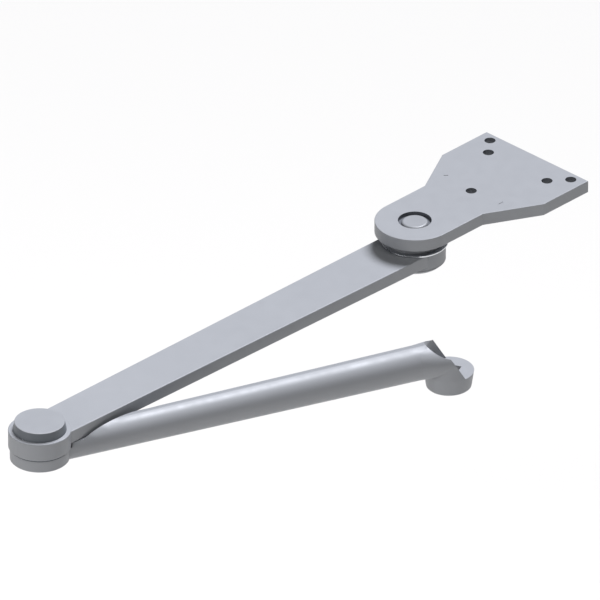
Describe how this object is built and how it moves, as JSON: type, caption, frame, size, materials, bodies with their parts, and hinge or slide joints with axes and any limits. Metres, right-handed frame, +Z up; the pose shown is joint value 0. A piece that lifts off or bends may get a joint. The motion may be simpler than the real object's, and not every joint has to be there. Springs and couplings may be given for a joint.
{
  "type": "door closer arm",
  "caption": "Parallel-arm set of a surface door closer: soffit shoe plate, flat-bar forearm, capped elbow and round-bar main arm with a square pinion socket.",
  "frame": {"origin": "on the shoe plate's soffit face, midway between the two rear screw holes", "axes": "+Z up out of the soffit face; +X along the shoe plate, away from the arms; +Y across the plate"},
  "size_m": [0.446, 0.1516, 0.0496],
  "materials": {
    "painted_steel": "aluminium-coloured satin lacquer over steel",
    "pin_steel": "turned and ground steel",
    "washer_steel": "polished hardened steel",
    "spring_steel": "oil-blackened spring steel",
    "bearing_bronze": "sintered bronze",
    "seal_rubber": "moulded nitrile rubber"
  },
  "bodies": {
    "shoe": {"shoe_plate": "painted_steel", "shoe_pivot_pin": "pin_steel", "shoe_spacer_collar": "painted_steel", "shoe_thrust_washer": "washer_steel", "shoe_lower_washer": "washer_steel", "shoe_disc_spring": "spring_steel", "shoe_retaining_ring": "spring_steel"},
    "forearm": {"forearm": "painted_steel", "shoe_bushing_upper": "bearing_bronze", "shoe_bushing_lower": "bearing_bronze", "shoe_seal_ring": "seal_rubber", "shoe_dust_cap": "painted_steel", "elbow_bushing_upper": "bearing_bronze", "elbow_bushing_lower": "bearing_bronze", "elbow_seal_ring": "seal_rubber", "elbow_cap": "painted_steel"},
    "main_arm": {"main_arm": "painted_steel", "elbow_pin": "pin_steel", "elbow_thrust_washer": "washer_steel", "elbow_upper_washer": "washer_steel", "elbow_disc_spring": "spring_steel", "elbow_retaining_ring": "spring_steel"}
  },
  "joints": [
    {"name": "shoe_pivot", "type": "hinge", "parent": "shoe", "child": "forearm", "pos_m": [-0.1018, 0, -0.01505], "axis": [0, 0, 1], "continuous": true},
    {"name": "elbow", "type": "hinge", "parent": "forearm", "child": "main_arm", "pos_m": [-0.42075, 0.00557, -0.02335], "axis": [0, 0, -1], "range_deg": [-2, 250]}
  ]
}
